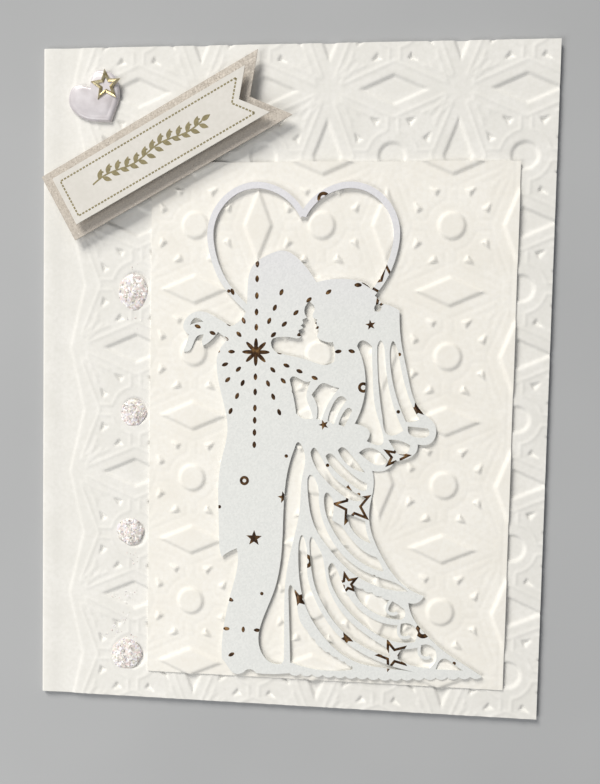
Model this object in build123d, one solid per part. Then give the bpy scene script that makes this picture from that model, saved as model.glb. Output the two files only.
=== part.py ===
from build123d import *
import os
from math import cos, hypot, radians, sin

# Closed side-fold greeting card lying on its back. X runs across the card, Y up its
# height, Z out of its front. Origin: middle of the back face. Sizes in millimetres.

# Folded sheet
CARD_W = 107.95  # A2 card, 4 1/4 in
CARD_H = 139.7  # 5 1/2 in
STOCK = 0.3  # thickness of the card stock
LEAF_GAP = 0.6  # opening between the two leaves
FRONT_Z = 2 * STOCK + LEAF_GAP  # height of the front face

# Embossing: one square lattice of stars, diamonds and circles on both sheets
PRESS = 0.45  # depth of the figures
SLOPE = 0.75  # width of a figure's sloping wall
DROP_SLOPE = 0.28
CIRCLE_R = 3.1
WIDE_DIAMOND = (7.8, 3.4)  # half width, half height
TALL_DIAMOND = (3.3, 8.5)
DROP_LENGTH, DROP_WIDTH = 2.6, 1.9
DROP_RING = 11.2  # distance of the drops from their star's centre
DROP_ANGLES = (33, 57)
BASE_PITCH = 26.9
BASE_STAR = (61.25 - CARD_W / 2, CARD_H / 2 - 9.5)  # one star centre on the front leaf
FOLD_MARGIN = 7.2  # plain strip beside the fold
PANEL_PITCH = 26.8

# Second sheet, set in from the edges of the first
MARGIN_LEFT, MARGIN_RIGHT = 24.2, 7.2
MARGIN_TOP, MARGIN_BOTTOM = 24.2, 6.0
PANEL_W = CARD_W - MARGIN_LEFT - MARGIN_RIGHT
PANEL_H = CARD_H - MARGIN_TOP - MARGIN_BOTTOM
PANEL_X = (MARGIN_LEFT - MARGIN_RIGHT) / 2
PANEL_Y = (MARGIN_BOTTOM - MARGIN_TOP) / 2
PANEL_STAR = (PANEL_X + 11.4, PANEL_Y + 28.3)  # one star centre on the panel
TAPE = 0.1
TAPE_W = 4.0
TAPE_INSET = 1.5
PANEL_Z = FRONT_Z + TAPE  # back face of the panel
PANEL_TOP = PANEL_Z + STOCK + PRESS  # crown of its raised figures

# Couple die-cut, drawn about the middle of the panel
DIE_CUT = 0.35
DIE_CUT_SCALE = min(PANEL_W / 76.55, PANEL_H / 109.5)
DIE_CUT_AT = (PANEL_X - 8.3, PANEL_Y + 9.3)
RING_BAND = 1.3
HEM_SCALLOP, HEM_DEPTH = 2.45, 0.5

# Banner, measured from the card's top left corner
BANNER_AT = (27.3, -21.2)
BANNER_ANGLE = 29.2
BACKING_L, BACKING_W, BACKING_TAIL = 52.8, 15.2, 6.0
LABEL_L, LABEL_W, LABEL_TAIL = 46.6, 10.8, 4.3
LABEL_SHIFT = -0.8
BACKING = 0.35
FOAM_LOW, FOAM_HIGH = 1.8, 1.5
FOAM_PAD = (9.0, 4.0)
FOAM_STEP = 13.0
FOAM_ACROSS = 1.5  # keeps the lower pads clear of the panel's corner
BACKING_Z = FRONT_Z + FOAM_LOW
LABEL_Z = BACKING_Z + BACKING + FOAM_HIGH

# Heart and star, measured from the same corner
HEART_AT = (12.3, -11.2)
HEART_ANGLE = 33
HEART_W, HEART_L = 11.4, 10.6
HEART_T = 1.2
HEART_ROUND = 0.55
STAR_AT = (14.2, -8.2)
STAR_ANGLE = 5
STAR_R, STAR_WAIST, STAR_STROKE = 3.2, 1.5, 0.55
STAR_T = 0.35

# Glitter dabs: shift from the pressed circle, radius
DABS = ((-0.8, -1.5, 3.2), (-0.5, -0.5, 2.8), (-1.0, 0.5, 2.9), (-1.6, 0.3, 3.4))
DAB_RISE = 0.55


def poly_wire(points, z):
    return Wire.make_polygon([Vector(x, y, z) for x, y in points], close=True)


def shrunk(points, slope):
    """The outline scaled towards its middle so that its walls move in by slope."""
    cx = sum(p[0] for p in points) / len(points)
    cy = sum(p[1] for p in points) / len(points)
    reach = min(
        abs((bx - ax) * (ay - cy) - (ax - cx) * (by - ay)) / hypot(bx - ax, by - ay)
        for (ax, ay), (bx, by) in zip(points, points[1:] + points[:1])
    )
    k = 1 - slope / reach
    return [(cx + (x - cx) * k, cy + (y - cy) * k) for x, y in points]


def tapered(figure, z_wide, z_narrow):
    """A lattice figure as a solid between its full outline and its shrunken one."""
    if figure[0] == "circle":
        _, x, y, r = figure
        up = z_narrow > z_wide
        plane = Plane((x, y, z_wide), x_dir=(1, 0, 0), z_dir=(0, 0, 1 if up else -1))
        return Solid.make_cone(r, r - SLOPE, abs(z_narrow - z_wide), plane)
    _, points, slope = figure
    ends = [poly_wire(points, z_wide), poly_wire(shrunk(points, slope), z_narrow)]
    return Solid.make_loft(ends, ruled=True)


def diamond(x, y, half):
    w, h = half
    return ("poly", [(x - w, y), (x, y - h), (x + w, y), (x, y + h)], SLOPE)


def drop(x, y, angle):
    """A dart on the ring of eight round a star, its point towards the star."""
    a = radians(angle)
    ux, uy = cos(a), sin(a)
    tip, back, half = DROP_RING - DROP_LENGTH / 2, DROP_RING + DROP_LENGTH / 2, DROP_WIDTH / 2
    corners = ((tip, 0), (back, -half), (back, half))
    turned = [(x + r * ux - s * uy, y + r * uy + s * ux) for r, s in corners]
    return ("poly", turned, DROP_SLOPE)


def lattice(star, pitch, left, right, bottom, top):
    """Every figure that reaches into the rectangle."""
    figures = []
    reach = range(-6, 7)
    for x, y in [(star[0] + i * pitch, star[1] + j * pitch) for i in reach for j in reach]:
        half = pitch / 2
        figures.append(diamond(x + half, y, WIDE_DIAMOND))
        figures.append(diamond(x, y + half, TALL_DIAMOND))
        figures.append(("circle", x + half, y + half, CIRCLE_R))
        for quarter in (0, 90, 180, 270):
            figures.extend(drop(x, y, quarter + angle) for angle in DROP_ANGLES)
    return [f for f in figures if overlaps(f, left, right, bottom, top)]


def extent(figure):
    if figure[0] == "circle":
        _, x, y, r = figure
        return x - r, x + r, y - r, y + r
    xs, ys = zip(*figure[1])
    return min(xs), max(xs), min(ys), max(ys)


def overlaps(figure, left, right, bottom, top):
    x0, x1, y0, y1 = extent(figure)
    return x1 > left + 0.3 and x0 < right - 0.3 and y1 > bottom + 0.3 and y0 < top - 0.3


def inside(figure, left, right, bottom, top):
    x0, x1, y0, y1 = extent(figure)
    return x0 > left and x1 < right and y0 > bottom and y1 < top


def formed(sheet, figures, face_z, back_z, way, edges):
    """The sheet with each figure pressed through it: way is +1 raised, -1 pressed in."""
    near, far = (back_z, face_z) if way > 0 else (face_z, back_z)
    left, right, bottom, top = edges
    border = Pos((left + right) / 2, (bottom + top) / 2, face_z) * Box(
        right - left, top - bottom, 20
    )
    bumps, cuts = [], []
    for figure in figures:
        bump = tapered(figure, far, far + way * PRESS)
        if not inside(figure, *edges):
            bump = border & bump
            if not bump:
                continue
        bumps.extend(bump.solids())
        cuts.append(tapered(figure, near, near + way * PRESS))
    return (sheet + bumps) - cuts


def card_base():
    """Folded sheet: back leaf, round fold on the left, front leaf pressed with the lattice."""
    left, right = -CARD_W / 2, CARD_W / 2
    outer = FRONT_Z / 2
    inner = outer - STOCK
    axis = left + outer
    with BuildSketch(Plane.XZ) as profile:
        with BuildLine():
            Line((right, 0), (axis, 0))
            ThreePointArc((axis, 0), (left, outer), (axis, FRONT_Z))
            Line((axis, FRONT_Z), (right, FRONT_Z))
            Line((right, FRONT_Z), (right, FRONT_Z - STOCK))
            Line((right, FRONT_Z - STOCK), (axis, FRONT_Z - STOCK))
            ThreePointArc((axis, FRONT_Z - STOCK), (axis - inner, outer), (axis, STOCK))
            Line((axis, STOCK), (right, STOCK))
            Line((right, STOCK), (right, 0))
        make_face()
    sheet = extrude(profile.sketch, CARD_H / 2, both=True)
    start = left + FOLD_MARGIN
    edges = (start, right, -CARD_H / 2, CARD_H / 2)
    panel = panel_edges()
    figures = lattice(BASE_STAR, BASE_PITCH, *edges)
    # Behind the panel the leaf stays flat, as a seat for its tape.
    figures = [f for f in figures if extent(f)[0] > start and not inside(f, *panel)]
    pressed = formed(sheet, figures, FRONT_Z, FRONT_Z - STOCK, -1, edges)
    return pressed.solid()


def panel_edges():
    return (
        PANEL_X - PANEL_W / 2,
        PANEL_X + PANEL_W / 2,
        PANEL_Y - PANEL_H / 2,
        PANEL_Y + PANEL_H / 2,
    )


def tape_band():
    left, right, bottom, top = panel_edges()
    return left + TAPE_INSET, right - TAPE_INSET, bottom + TAPE_INSET, top - TAPE_INSET


def embossed_panel():
    """Second sheet, the same lattice standing up out of it."""
    edges = panel_edges()
    sheet = Pos(PANEL_X, PANEL_Y, PANEL_Z + STOCK / 2) * Box(PANEL_W, PANEL_H, STOCK)
    figures = lattice(PANEL_STAR, PANEL_PITCH, *edges)
    return formed(sheet, figures, PANEL_Z + STOCK, PANEL_Z, 1, edges).solid()


def panel_tapes():
    left, right, bottom, top = tape_band()
    width, height = right - left, top - bottom
    z = FRONT_Z + TAPE / 2
    across = Box(width, TAPE_W, TAPE)
    upright = Box(TAPE_W, height - 2 * TAPE_W - 2, TAPE)
    return {
        "panel_tape_top": Pos(PANEL_X, top - TAPE_W / 2, z) * across,
        "panel_tape_bottom": Pos(PANEL_X, bottom + TAPE_W / 2, z) * across,
        "panel_tape_left": Pos(left + TAPE_W / 2, PANEL_Y, z) * upright,
        "panel_tape_right": Pos(right - TAPE_W / 2, PANEL_Y, z) * upright,
    }


def loop(*runs):
    """Closed face. Each run starts at a corner and is smooth up to the next run's corner."""
    edges = []
    for run, after in zip(runs, runs[1:] + runs[:1]):
        points = [Vector(x, y) for x, y in (*run, after[0])]
        if len(points) == 2:
            edges.append(Edge.make_line(*points))
        else:
            edges.append(Edge.make_spline(points))
    return Face(Wire(edges))


def ribbon(points, width):
    """A strip of even width along a smooth line."""
    line = Edge.make_spline([Vector(x, y) for x, y in points])
    sides = []
    for side in (1, -1):
        row = []
        for k in range(13):
            p, d = line.position_at(k / 12), line.tangent_at(k / 12)
            row.append((p.X - side * d.Y * width / 2, p.Y + side * d.X * width / 2))
        sides.append(row)
    there, back = sides[0], sides[1][::-1]
    return loop(there[:-1], there[-1:], back[:-1], back[-1:])


def scallops(start, end, pitch, depth):
    """A row of small arcs from start to end, bulging to the left of the way along it."""
    length = hypot(end[0] - start[0], end[1] - start[1])
    count = max(1, round(length / pitch))
    dx, dy = (end[0] - start[0]) / count, (end[1] - start[1]) / count
    out = depth * count / length
    corners = [(start[0] + k * dx, start[1] + k * dy) for k in range(count)]
    return [[(x, y), (x + dx / 2 - dy * out, y + dy / 2 + dx * out)] for x, y in corners]


def heart_ring():
    """The heart drawn round the heads, one half mirrored about its notch."""
    half = [(0, 34.2), (3.6, 38.5), (10.4, 40.6), (16.6, 37.6), (19.5, 31.4), (18.9, 26.2)]
    half += [(17.1, 21.6), (14.3, 17.8), (11, 14.6)]
    return [ribbon([(2.4 + s * x, y) for x, y in half], RING_BAND) for s in (1, -1)]


def body_outline():
    """Both figures and the skirt in one outline, clockwise from the groom's nape."""
    groom_head = [(-9.2, 14.4), (-9.0, 18.5), (-7.9, 24), (-5, 26.1), (-1.6, 27.1), (2, 25.1)]
    bride_head = [(5.5, 20.6), (9, 21.3), (13, 21.2), (16.2, 20)]
    veil_top = [[(17.4, 18.3)], [(19.3, 16.3), (21, 15.9)]]
    veil_side = [(22.9, 14.9), (23.5, 8), (24.9, 2), (28, -5.8), (31, -9), (30.9, -11.3)]
    veil_foot = [[(27.4, -12.7), (26.6, -15), (24.6, -16)], [(22.8, -16.4), (21.4, -18)]]
    back = [(18.1, -18.5), (18.4, -22.5), (17.7, -27), (18.1, -31), (20, -35.5), (24.5, -41.8)]
    train = [(29.6, -44.6), (28.6, -45.9)]
    train_edge = [(26.4, -46.2), (27.6, -49.6), (30.5, -53), (33.5, -55.7), (37.5, -58.3)]
    hem = scallops((42.1, -61.1), (23, -62.6), HEM_SCALLOP, HEM_DEPTH)
    hem += scallops((23, -62.6), (1.5, -62.6), HEM_SCALLOP, HEM_DEPTH)
    shoe = [[(1.5, -62.6), (-2, -63)], [(-5.7, -63), (-7.1, -62.2)]]
    shoe += [[(-8.5, -63), (-11, -63), (-12.4, -61.2)]]
    leg = [(-13.3, -60.2), (-12.8, -52), (-11.2, -44.5), (-10.2, -40)]
    jacket = [[(-10.4, -36), (-12, -36.8)], [(-13.7, -38)]]
    back_line = [(-14.2, -36), (-14.5, -28), (-14.2, -18), (-12.8, -10.5), (-14.3, -3)]
    elbow = [(-15.4, 4), (-14.6, 6.6)]
    cuff = [[(-13, 8.5)], [(-15.2, 10), (-16.7, 8.2)], [(-18.4, 7), (-18.6, 8.2)]]
    hand = [[(-18.2, 9.4), (-20, 8.6), (-21.2, 6.1)], [(-22.6, 5.8), (-21.9, 7.7)]]
    arm = [(-21.4, 9.4), (-22.7, 11.3), (-21.5, 13.4), (-19.5, 14.3), (-15.5, 13)]
    nape = [(-12.2, 11.3), (-10.6, 12.4)]
    upper = [groom_head, bride_head, *veil_top, veil_side, *veil_foot]
    lower = [back, train, train_edge, *hem, *shoe, leg, *jacket]
    return loop(*upper, *lower, back_line, elbow, *cuff, *hand, arm, nape)


def between_faces():
    """The opening between two plain profiles that lean together, down to the crossed arms."""
    bride = [[(4.1, 16.6), (5.2, 15.4)], [(5.2, 14.6), (4.9, 13.4)], [(5.9, 12.9)]]
    bride += [[(5.4, 12.1)], [(6, 11.6)], [(5.5, 11), (6.2, 10.5), (5.9, 9.5), (6.8, 8.6)]]
    arms = [[(9.2, 8.3), (9.7, 6.2)], [(9.6, 4.2), (8.2, 3.5), (3.8, 4.5), (0, 5.3)]]
    collar = [[(-2.5, 5.9), (-3.5, 6.8), (-3.8, 8.1)]]
    groom = [[(-3.2, 8.9), (-1.4, 9.2)], [(1.4, 8.9), (2.4, 9.7), (2, 10.6), (2.8, 11)]]
    groom += [[(2.4, 11.6)], [(3, 12.1)], [(2.7, 12.8)], [(3.7, 13.3), (3.1, 14.7), (3.3, 15.6)]]
    return loop(*bride, *arms, *collar, *groom)


def arm_openings():
    """Openings between the torso, the groom's hand and the folds of the bride's sleeve."""
    first = loop(
        [(0.3, 0.2), (0.9, 0.9), (2.5, 0.4)],
        [(4.7, 0.1), (4.2, -1.5), (3.9, -3.2), (4.6, -5.4)],
        [(5.3, -7.8), (3.4, -7.9)],
        [(1.8, -6.8), (1.1, -3)],
    )
    second = loop(
        [(5, -2.8), (5.9, -1.6), (7.2, -0.4), (9, -0.8)],
        [(10.8, -1.3), (8.6, -4.5)],
        [(7.2, -8.1)],
        [(6.1, -7.9), (6.3, -6)],
    )
    third = loop([(8.5, -8.3), (9.3, -5.2), (11.3, -3)], [(12.4, -3.8), (10.6, -6.8)], [(9.8, -9)])
    fourth = loop([(10.9, -9), (11.8, -6.4), (13, -5.4)], [(13.6, -6), (12.4, -8.6)], [(12, -9.4)])
    return [first, second, third, fourth]


def veil_openings():
    """Long openings that leave the veil as three bands, and the smaller ones at its foot."""
    return [
        loop(
            [(14.3, 7.5), (14.9, 8.5)],
            [(17.4, 7.5), (17.8, 0), (18.6, -6), (20, -12.9)],
            [(16.8, -12.3), (17.4, -10.9)],
            [(14.2, -8.7), (16, -3.4), (16.2, 1)],
        ),
        loop(
            [(18.5, 7.6), (19.1, 8.7)],
            [(20, 7), (20.7, 1), (23.2, -7.5)],
            [(24.4, -9.9), (21.3, -10.9)],
            [(20, -7.6), (18.9, 0)],
        ),
        loop(
            [(21.1, 6.4), (21.7, 8.6)],
            [(22.8, 6.5), (24.3, 0), (26.2, -5)],
            [(27.6, -7.4), (26, -8.1)],
            [(24.8, -8), (22.6, -2.5), (21.7, 1)],
        ),
        loop([(25.3, -9)], [(29.4, -9.3), (29.7, -10.6)], [(28.4, -11.3), (25.3, -9.9)]),
        loop([(21.3, -11.9), (23.6, -12)], [(25.9, -13), (25, -14.7)], [(23.2, -14.7)]),
        loop([(15.2, -14.8), (16.4, -13.9)], [(21.4, -16.4), (20.2, -17.2)], [(17.4, -16.5)]),
        Pos(18.4, 15.4) * Circle(0.75).face(),
    ]


def leg_opening():
    """Between the groom's trouser leg and the front of the skirt."""
    skirt = [(1.6, -14.3), (2.4, -12.9), (3.7, -15), (3.4, -20), (3, -27), (1.6, -34.5), (0.3, -42)]
    trouser = [(-0.4, -60.8), (-3.2, -60.2), (-5.2, -57), (-4.6, -51.4), (-2.2, -45), (-0.6, -34)]
    return loop([*skirt, (0.1, -50)], [(0.2, -60)], [*trouser, (0, -20.5)])


def upper_folds():
    """Leaf-shaped openings between the folds that leave the waist."""
    return [
        loop(
            [(5, -15), (5.8, -14), (6.8, -15.1), (10, -20), (13.5, -22.6)],
            [(17, -24.4), (15.2, -25), (10.3, -22.6), (6, -17.8)],
        ),
        loop(
            [(8.2, -15.7), (9.2, -15.1), (10.6, -16.2), (14, -19.4)],
            [(17.1, -21.2), (16.9, -22.6), (12.6, -20.7), (9, -17.2)],
        ),
        loop([(10.8, -14.4), (11.7, -13.7), (13.4, -15), (15, -16.9)], [(16.6, -18.9), (14, -18.1)]),
        loop(
            [(8.1, -24.4), (8.7, -23.4), (9.9, -24.8), (10.2, -27)],
            [(9.9, -29.2)],
            [(11.8, -30.2), (14.5, -33.6), (17.5, -36)],
            [(19.4, -36.7), (20.4, -38.2)],
            [(21, -39.8), (15, -37.1), (10.3, -31.6), (8.6, -28)],
        ),
        loop(
            [(12.9, -27.8), (14.7, -28.3)],
            [(16.9, -29.2), (17.3, -31.6)],
            [(18.2, -33.9), (15.6, -32.6)],
        ),
    ]


def lower_folds():
    """The long openings that sweep out to the train; small scallops edge two of them."""
    long_fold = [(4.5, -20.6), (5.1, -19.7), (6.4, -21.2), (7, -25), (8.6, -31), (12.4, -36.6)]
    long_back = [(26.2, -43.8), (21, -43.3), (15, -40.7), (9.8, -35.8), (6.2, -30.6), (4.9, -26)]
    top_fold = [(9.3, -39.4), (10.1, -38.4), (11.2, -39.8), (13.3, -44.6), (18, -49.4)]
    top_back = [(28, -54.5), (24.6, -54.8), (18, -52.1), (12.3, -46.8), (9.9, -42.5)]
    mid_fold = [(5.2, -34.2), (5.7, -33), (6.5, -34), (7.9, -36.6), (9, -42), (13.5, -50)]
    mid_back = [(23, -58), (16, -55.4), (11.5, -51.8), (8.6, -47.8), (6.6, -43.6), (5.6, -39)]
    low_fold = [(2.9, -34.6), (3.7, -32.7), (4.3, -34), (4.9, -41), (6.5, -46), (12.5, -54.5)]
    low_back = [(28, -60.9), (20, -60.3), (15.5, -59.4), (8.3, -53.9), (4.6, -47.8), (3.2, -42)]
    front = [(0.9, -44.6), (1.4, -43.5), (2.1, -44.6), (2.9, -48.2)]
    lace = scallops((5.2, -53.2), (8.3, -56.7), 2.3, -0.3)
    lace += scallops((8.3, -56.7), (15, -60.4), 1.9, -0.3)
    edging = scallops((14.8, -42.8), (22.6, -45.7), 2.0, -0.35)
    return [
        loop([*long_fold, (19.2, -40.7), (24, -42.2)], long_back),
        loop(top_fold, [(24.3, -51), (26.8, -50.6)], [(28.6, -52.4)], top_back),
        loop(
            *edging,
            [(22.6, -45.7), (24, -46.5)],
            [(25.6, -47.6), (25.7, -49.2)],
            [(25, -49.9), (18.6, -48.3), (15.4, -45.2)],
        ),
        loop([*mid_fold, (17, -52.9)], [(22, -56)], mid_back),
        loop([*low_fold, (20, -58.8)], low_back),
        loop(front, *lace, [(15, -60.4)], [(15, -61.2), (5, -61.2)], [(1.6, -60.3)]),
        loop(
            [(25.2, -56.1), (26.8, -56)],
            [(28.4, -55.7), (30.9, -54.9)],
            [(32.3, -56), (32.6, -57.6)],
            [(31.2, -60), (28.6, -59.8), (26, -59.1)],
            [(24.4, -58.2)],
        ),
        loop([(32.5, -60.1), (34.4, -57.7)], [(35.4, -58.2)], [(38.2, -60.1)]),
    ]


def curls():
    """The lace hooks that turn back into the last openings of the train."""
    paths = [
        [(23.1, -45.6), (22.1, -46.9), (22, -48.1), (22.9, -48.7), (24.1, -48.3)],
        [(24.7, -50.3), (24.5, -52.2), (24.9, -53.4), (25.8, -53.7), (26.9, -53.2)],
        [(29.2, -54.4), (28.9, -56.1), (29.3, -57.4), (30.3, -57.8), (31.3, -57.4)],
    ]
    return [ribbon(path, 0.65) for path in paths]


def couple_die_cut():
    """One piece of pearl card: ring, figures, veil and skirt, cut right through."""
    openings = [between_faces(), leg_opening(), *arm_openings(), *veil_openings()]
    openings += upper_folds() + lower_folds()
    crescent = loop([(-21.2, 11.4), (-20.2, 12.9)], [(-18.4, 12.1), (-19.9, 11.9)])
    flat = (body_outline() + heart_ring()) - [*openings, crescent] + curls()
    placed = Pos(*DIE_CUT_AT, PANEL_TOP) * scale(Sketch() + flat, DIE_CUT_SCALE)
    return extrude(placed, DIE_CUT, dir=(0, 0, 1))


def swallowtail(length, width, tail):
    """Banner outline about its middle, notched at the right end."""
    x, y = length / 2, width / 2
    return Polygon((-x, -y), (x, -y), (x - tail, 0), (x, y), (-x, y), align=None)


def banner_place(z):
    return Pos(BANNER_AT[0] - CARD_W / 2, BANNER_AT[1] + CARD_H / 2, z) * Rot(0, 0, BANNER_ANGLE)


def banner_backing():
    outline = swallowtail(BACKING_L, BACKING_W, BACKING_TAIL)
    return banner_place(BACKING_Z) * extrude(outline, BACKING)


def banner_label():
    outline = swallowtail(LABEL_L, LABEL_W, LABEL_TAIL)
    return banner_place(LABEL_Z) * Pos(LABEL_SHIFT, 0, 0) * extrude(outline, STOCK)


def foam_pads():
    """Two rows of three pads, one row under each layer of the banner."""
    pads = {}
    for k in range(3):
        along = Pos((k - 1) * FOAM_STEP, FOAM_ACROSS, 0)
        low = Pos(0, 0, FOAM_LOW / 2) * Box(*FOAM_PAD, FOAM_LOW)
        high = Pos(0, 0, FOAM_HIGH / 2) * Box(*FOAM_PAD, FOAM_HIGH)
        pads[f"banner_foam_{k + 1}"] = banner_place(FRONT_Z) * along * low
        pads[f"label_foam_{k + 1}"] = banner_place(BACKING_Z + BACKING) * along * high
    return pads


def corner_place(at, z, angle):
    return Pos(at[0] - CARD_W / 2, at[1] + CARD_H / 2, z) * Rot(0, 0, angle)


def heart_charm():
    """Small stuffed heart: two round lobes down to a point, its rim rounded over."""
    w, l = HEART_W / 2, HEART_L
    half = [(0, l * 0.31), (w * 0.3, l * 0.47), (w * 0.62, l * 0.5), (w * 0.95, l * 0.33)]
    half += [(w, l * 0.1), (w * 0.72, -l * 0.2)]
    right = half
    left = [(-x, y) for x, y in half[:0:-1]]
    outline = loop(right, [(0, -l * 0.5), *left])
    body = extrude(outline, HEART_T, dir=(0, 0, 1))
    body = fillet(body.edges().group_by(Axis.Z)[-1], HEART_ROUND)
    return corner_place(HEART_AT, FRONT_Z, HEART_ANGLE) * body


def star_points(radius, waist):
    turns = [radians(90 + 36 * k) for k in range(10)]
    reach = [radius if k % 2 == 0 else waist for k in range(10)]
    return [(r * cos(t), r * sin(t)) for r, t in zip(reach, turns)]


def gold_star():
    """Thin star cut out of gold card, open in the middle."""
    outer = Polygon(*star_points(STAR_R, STAR_WAIST), align=None)
    k = 1 - STAR_STROKE / STAR_WAIST * 0.95
    inner = Polygon(*star_points(STAR_R * k, STAR_WAIST * k), align=None)
    return corner_place(STAR_AT, FRONT_Z + HEART_T, STAR_ANGLE) * extrude(outer - inner, STAR_T)


def glitter_dabs():
    """Each dab fills one pressed circle of the left-hand column and domes up over it."""
    dabs = {}
    for k, (dx, dy, r) in enumerate(DABS):
        x = BASE_STAR[0] - 1.5 * BASE_PITCH
        y = BASE_STAR[1] - (k + 1.5) * BASE_PITCH
        plug = tapered(("circle", x, y, CIRCLE_R), FRONT_Z, FRONT_Z - PRESS)
        ball = (r * r + DAB_RISE * DAB_RISE) / (2 * DAB_RISE)
        dome = Pos(x + dx, y + dy, FRONT_Z + DAB_RISE - ball) * Sphere(ball)
        above = Pos(x + dx, y + dy, FRONT_Z + 1) * Box(3 * r, 3 * r, 2)
        dabs[f"glitter_dot_{k + 1}"] = (dome & above) + plug
    return dabs


def main():
    os.makedirs("parts", exist_ok=True)
    nodes = {
        "card_base": card_base(),
        "embossed_panel": embossed_panel(),
        "couple_die_cut": couple_die_cut(),
        "banner_backing": banner_backing(),
        "banner_label": banner_label(),
        "heart_charm": heart_charm(),
        "gold_star": gold_star(),
    }
    nodes.update(panel_tapes())
    nodes.update(foam_pads())
    nodes.update(glitter_dabs())
    for name, shape in nodes.items():
        export_step(Part() + shape.solids(), f"parts/{name}.step")


main()
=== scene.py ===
import bmesh
import bpy
import numpy as np
from mathutils import Matrix, Vector


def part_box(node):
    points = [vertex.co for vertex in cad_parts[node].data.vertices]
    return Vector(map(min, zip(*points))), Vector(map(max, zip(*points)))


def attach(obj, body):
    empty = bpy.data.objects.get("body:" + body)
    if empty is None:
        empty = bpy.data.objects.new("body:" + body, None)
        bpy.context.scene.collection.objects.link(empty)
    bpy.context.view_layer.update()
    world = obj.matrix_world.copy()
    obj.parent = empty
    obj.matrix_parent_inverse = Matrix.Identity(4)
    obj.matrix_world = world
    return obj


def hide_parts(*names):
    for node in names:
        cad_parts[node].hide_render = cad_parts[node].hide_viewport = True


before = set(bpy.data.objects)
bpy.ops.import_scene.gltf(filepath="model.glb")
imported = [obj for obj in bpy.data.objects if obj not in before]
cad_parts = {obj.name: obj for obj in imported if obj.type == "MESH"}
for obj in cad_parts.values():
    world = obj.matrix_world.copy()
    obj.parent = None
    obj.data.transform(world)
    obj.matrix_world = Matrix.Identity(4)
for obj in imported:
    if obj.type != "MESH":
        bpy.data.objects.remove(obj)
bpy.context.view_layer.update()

# ---------------------------------------------------------------------------------------
# Folded sheet. White uncoated card stock of 0.3 mm, scored and folded at the left, its
# front leaf squeezed in an embossing folder, so every figure is pushed down through the
# leaf and shows on its underside as well. The second sheet hides the middle of the leaf.
# ---------------------------------------------------------------------------------------

STOCK = 0.3
SQUEEZE = 0.45  # how deep the folder presses
WALL = 0.75  # width of a figure's sloping wall
WIDE_DIAMOND = (7.8, 3.4)  # half width, half height
TALL_DIAMOND = (3.3, 8.5)
CIRCLE = 3.1
DART_TURN, DART_FROM, DART_LENGTH = 33, 9.9, 2.6
DART_TAPER, DART_SLANT = 0.365, 0.94  # the tangent and cosine of half its point's angle
FIRST_LINE, SECOND_LINE = 2.1, 3.7  # how far the scored lines run outside a diamond
CIRCLE_LINE = 5.2
TWIN_RAYS = 0.75  # half the gap between the two rays from a star's centre
TIE = 1.1  # half the gap between the two ties that leave a circle's line
EVERY = 3  # the seen side of a sheet is this much finer than the hidden side

card_low, card_high = (np.array(corner) * 1000 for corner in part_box("card_base"))
panel_low, panel_high = (np.array(corner) * 1000 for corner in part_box("embossed_panel"))
front_z = card_high[2]


def rise(t):
    """0 before 0, 1 after 1, and the smooth cubic 3t^2 - 2t^3 between."""
    t = np.clip(t, 0, 1)
    return t * t * (3 - 2 * t)


def scored(distance, width=0.3):
    """A thin rounded line along distance 0: the bell exp(-(distance / width)^2)."""
    return np.exp(-((distance / width) ** 2))


def diamond(x, y, half_width, half_height):
    """Distance in from a diamond's sides: (1 - |x| / w - |y| / h) / hypot(1 / w, 1 / h)."""
    inside = 1 - np.abs(x) / half_width - np.abs(y) / half_height
    return inside / np.hypot(1 / half_width, 1 / half_height)


def lattice(x, y, star, pitch):
    """Depth of the figures, 0 to 1, and of the thin scored lines round them.

    x and y are folded into one quarter of a square cell with a star's centre in its corner.
    A dart is three half planes, and each figure's depth rises over the width of its sloping
    wall. A scored line runs a set distance outside a figure and fades at the star's centre.
    """
    half = pitch / 2
    a = np.abs((x - star[0]) / pitch - np.round((x - star[0]) / pitch)) * pitch
    b = np.abs((y - star[1]) / pitch - np.round((y - star[1]) / pitch)) * pitch
    wide = diamond(a - half, b, *WIDE_DIAMOND)
    tall = diamond(a, b - half, *TALL_DIAMOND)
    spot = np.hypot(a - half, b - half)
    ray, side = np.maximum(a, b), np.minimum(a, b)
    turn = np.radians(DART_TURN)
    along = ray * np.cos(turn) + side * np.sin(turn) - DART_FROM
    across = np.abs(side * np.cos(turn) - ray * np.sin(turn))
    dart = np.minimum(DART_LENGTH - along, (along * DART_TAPER - across) * DART_SLANT)
    depth = np.maximum.reduce(
        [rise(wide / WALL), rise(tall / WALL), rise((CIRCLE - spot) / WALL), rise(dart / 0.4)]
    )
    reach = np.hypot(a, b)
    near_star = rise((reach - 2.2) / 1.2)
    second = near_star * rise(9.5 - reach)
    gap = np.minimum(np.abs(a - half), np.abs(b - half)) > TIE
    lines = [
        scored(wide + FIRST_LINE) * near_star,
        scored(tall + FIRST_LINE) * near_star,
        scored(wide + SECOND_LINE) * second * (tall < -FIRST_LINE),
        scored(tall + SECOND_LINE) * second * (wide < -FIRST_LINE),
        scored(spot - CIRCLE_LINE) * gap,
        scored(np.abs(ray - side) / 1.414 - TWIN_RAYS) * near_star * rise(8.6 - reach),
        scored(np.abs(b - half) - TIE) * (a > 5.4) * (a < 8.5),
        scored(np.abs(a - half) - TIE) * (b > 5.7) * (b < 8.5),
    ]
    return depth, np.maximum.reduce(lines) * (1 - depth)


def threefold(places):
    """Each step between neighbouring places divided into EVERY equal ones."""
    steps = np.arange(EVERY * (len(places) - 1) + 1) / EVERY
    return np.interp(steps, np.arange(len(places)), places)


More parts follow.
